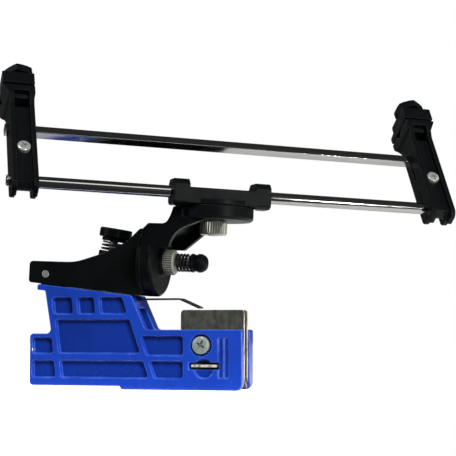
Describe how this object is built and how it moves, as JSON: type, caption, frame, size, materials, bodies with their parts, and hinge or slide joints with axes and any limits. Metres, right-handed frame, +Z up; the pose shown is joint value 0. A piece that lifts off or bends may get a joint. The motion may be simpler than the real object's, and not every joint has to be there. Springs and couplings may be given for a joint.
{
  "type": "bar-mount chainsaw sharpener",
  "caption": "Chainsaw filing guide that clamps on the guide bar; a sliding, rolling and swivelling rod frame holds a round file at a set angle.",
  "frame": {"origin": "clamp screw's axis on the middle plane of the bar slot", "axes": "+X along the guide bar to the clamp end, +Y from the clamp screw's face to the back, +Z up towards the rods"},
  "size_m": [0.2353, 0.1808, 0.1725],
  "materials": {
    "blue_enamel": "glossy enamel on a casting",
    "black_plastic": "satin moulded",
    "zinc_steel": "zinc plated",
    "jaw_steel": "plain pressed sheet",
    "chrome_rod": "polished",
    "black_spring": "black oxide"
  },
  "bodies": {
    "base": {"base_casting": "blue_enamel", "hinge_pin": "zinc_steel", "fixed_jaw_plate": "jaw_steel", "jaw_rivets": "zinc_steel", "chain_stop_screw": "zinc_steel"},
    "chain_stop": {"chain_stop": "zinc_steel"},
    "moving_jaw": {"moving_jaw_plate": "jaw_steel"},
    "clamp_screw": {"clamp_screw": "zinc_steel"},
    "arm": {"hinge_arm": "black_plastic", "tilt_stud": "zinc_steel", "height_spring": "black_spring", "stop_spring": "black_spring"},
    "height_screw": {"height_screw": "zinc_steel"},
    "height_knob": {"height_knob": "black_plastic"},
    "tilt_nut": {"tilt_nut": "zinc_steel"},
    "stop_cap": {"stop_cap": "black_plastic"},
    "elbow": {"elbow_bracket": "black_plastic"},
    "carriage": {"carriage": "black_plastic", "swivel_bolt": "zinc_steel"},
    "swivel_nut": {"swivel_nut": "zinc_steel"},
    "guide_rod": {"guide_rod": "chrome_rod"},
    "frame": {"spacer_bar": "chrome_rod", "left_end_arm": "black_plastic", "right_end_arm": "black_plastic", "left_clamp_plate": "black_plastic", "right_clamp_plate": "black_plastic", "pinch_screws": "zinc_steel", "pinch_nuts": "zinc_steel", "clamp_bolts": "zinc_steel"},
    "left_jaw": {"left_file_jaw": "black_plastic"},
    "right_jaw": {"right_file_jaw": "black_plastic"},
    "left_knob": {"left_file_knob": "black_plastic"},
    "right_knob": {"right_file_knob": "black_plastic"}
  },
  "joints": [
    {"name": "arm_lift", "type": "hinge", "parent": "base", "child": "arm", "pos_m": [-0.0879, 0, 0.0381], "axis": [0, -1, 0], "range_deg": [0, 4]},
    {"name": "height_travel", "type": "slide", "parent": "arm", "child": "height_screw", "axis": [0.1736, 0, 0.9848], "range_m": [-0.00232, 0.0001], "deforming": ["height_spring"]},
    {"name": "height_turn", "type": "hinge", "parent": "height_screw", "child": "height_knob", "pos_m": [-0.0513, 0, 0.06253], "axis": [0.1736, 0, 0.9848], "range_deg": [-805, 5]},
    {"name": "elbow_tilt", "type": "hinge", "parent": "arm", "child": "elbow", "pos_m": [-0.03107, 0, 0.04438], "axis": [0.999, 0, -0.0436], "range_deg": [-10, 10]},
    {"name": "tilt_nut_turn", "type": "hinge", "parent": "arm", "child": "tilt_nut", "pos_m": [-0.03107, 0, 0.04438], "axis": [0.999, 0, -0.0436], "range_deg": [0, 180]},
    {"name": "stop_cap_press", "type": "slide", "parent": "arm", "child": "stop_cap", "axis": [0.999, 0, -0.0436], "range_m": [-0.003, 0], "stiffness_N_per_m": 800, "springref_m": 0.001, "deforming": ["stop_spring"]},
    {"name": "carriage_swivel", "type": "hinge", "parent": "elbow", "child": "carriage", "pos_m": [0.0038, 0, 0.07268], "axis": [0.0436, 0, 0.999], "range_deg": [-5, 95]},
    {"name": "swivel_nut_turn", "type": "hinge", "parent": "carriage", "child": "swivel_nut", "pos_m": [0.0038, 0, 0.07268], "axis": [0.0436, 0, 0.999], "range_deg": [-180, 0]},
    {"name": "rod_slide", "type": "slide", "parent": "carriage", "child": "guide_rod", "axis": [0.8445, 0.5344, -0.0369], "range_m": [-0.06, 0.045]},
    {"name": "frame_roll", "type": "hinge", "parent": "guide_rod", "child": "frame", "pos_m": [0.01826, -0.00284, 0.07811], "axis": [0.8445, 0.5344, -0.0369], "range_deg": [-45, 215]},
    {"name": "clamp_turn", "type": "hinge", "parent": "moving_jaw", "child": "clamp_screw", "pos_m": [0, 0, 0], "axis": [0, 1, 0], "range_deg": [-905, 203]},
    {"name": "jaw_travel", "type": "slide", "parent": "base", "child": "moving_jaw", "axis": [0, 1, 0], "range_m": [-0.0025, 0.00055]},
    {"name": "chain_stop_flex", "type": "hinge", "parent": "base", "child": "chain_stop", "pos_m": [-0.0465, 0, 0.02385], "axis": [0, -1, 0], "range_deg": [0, 1.2], "stiffness_Nm_per_rad": 2, "springref_deg": -1.15},
    {"name": "left_jaw_travel", "type": "slide", "parent": "frame", "child": "left_jaw", "axis": [-0.288, 0.511, 0.8099], "range_m": [0, 0.0025]},
    {"name": "left_knob_turn", "type": "hinge", "parent": "left_jaw", "child": "left_knob", "pos_m": [-0.09527, -0.03111, 0.1383], "axis": [-0.288, 0.511, 0.8099], "range_deg": [-5, 1291]},
    {"name": "right_jaw_travel", "type": "slide", "parent": "frame", "child": "right_jaw", "axis": [-0.288, 0.511, 0.8099], "range_m": [0, 0.0025]},
    {"name": "right_knob_turn", "type": "hinge", "parent": "right_jaw", "child": "right_knob", "pos_m": [0.09592, 0.08987, 0.12995], "axis": [-0.288, 0.511, 0.8099], "range_deg": [-5, 1291]}
  ],
  "couplings": [
    {"joint": "height_travel", "follows": "arm_lift", "m_per_rad": -0.031812},
    {"joint": "height_turn", "follows": "arm_lift", "ratio": -199.88},
    {"joint": "clamp_turn", "follows": "jaw_travel", "rad_per_m": 6283.2},
    {"joint": "left_knob_turn", "follows": "left_jaw_travel", "rad_per_m": 8976},
    {"joint": "right_knob_turn", "follows": "right_jaw_travel", "rad_per_m": 8976}
  ]
}
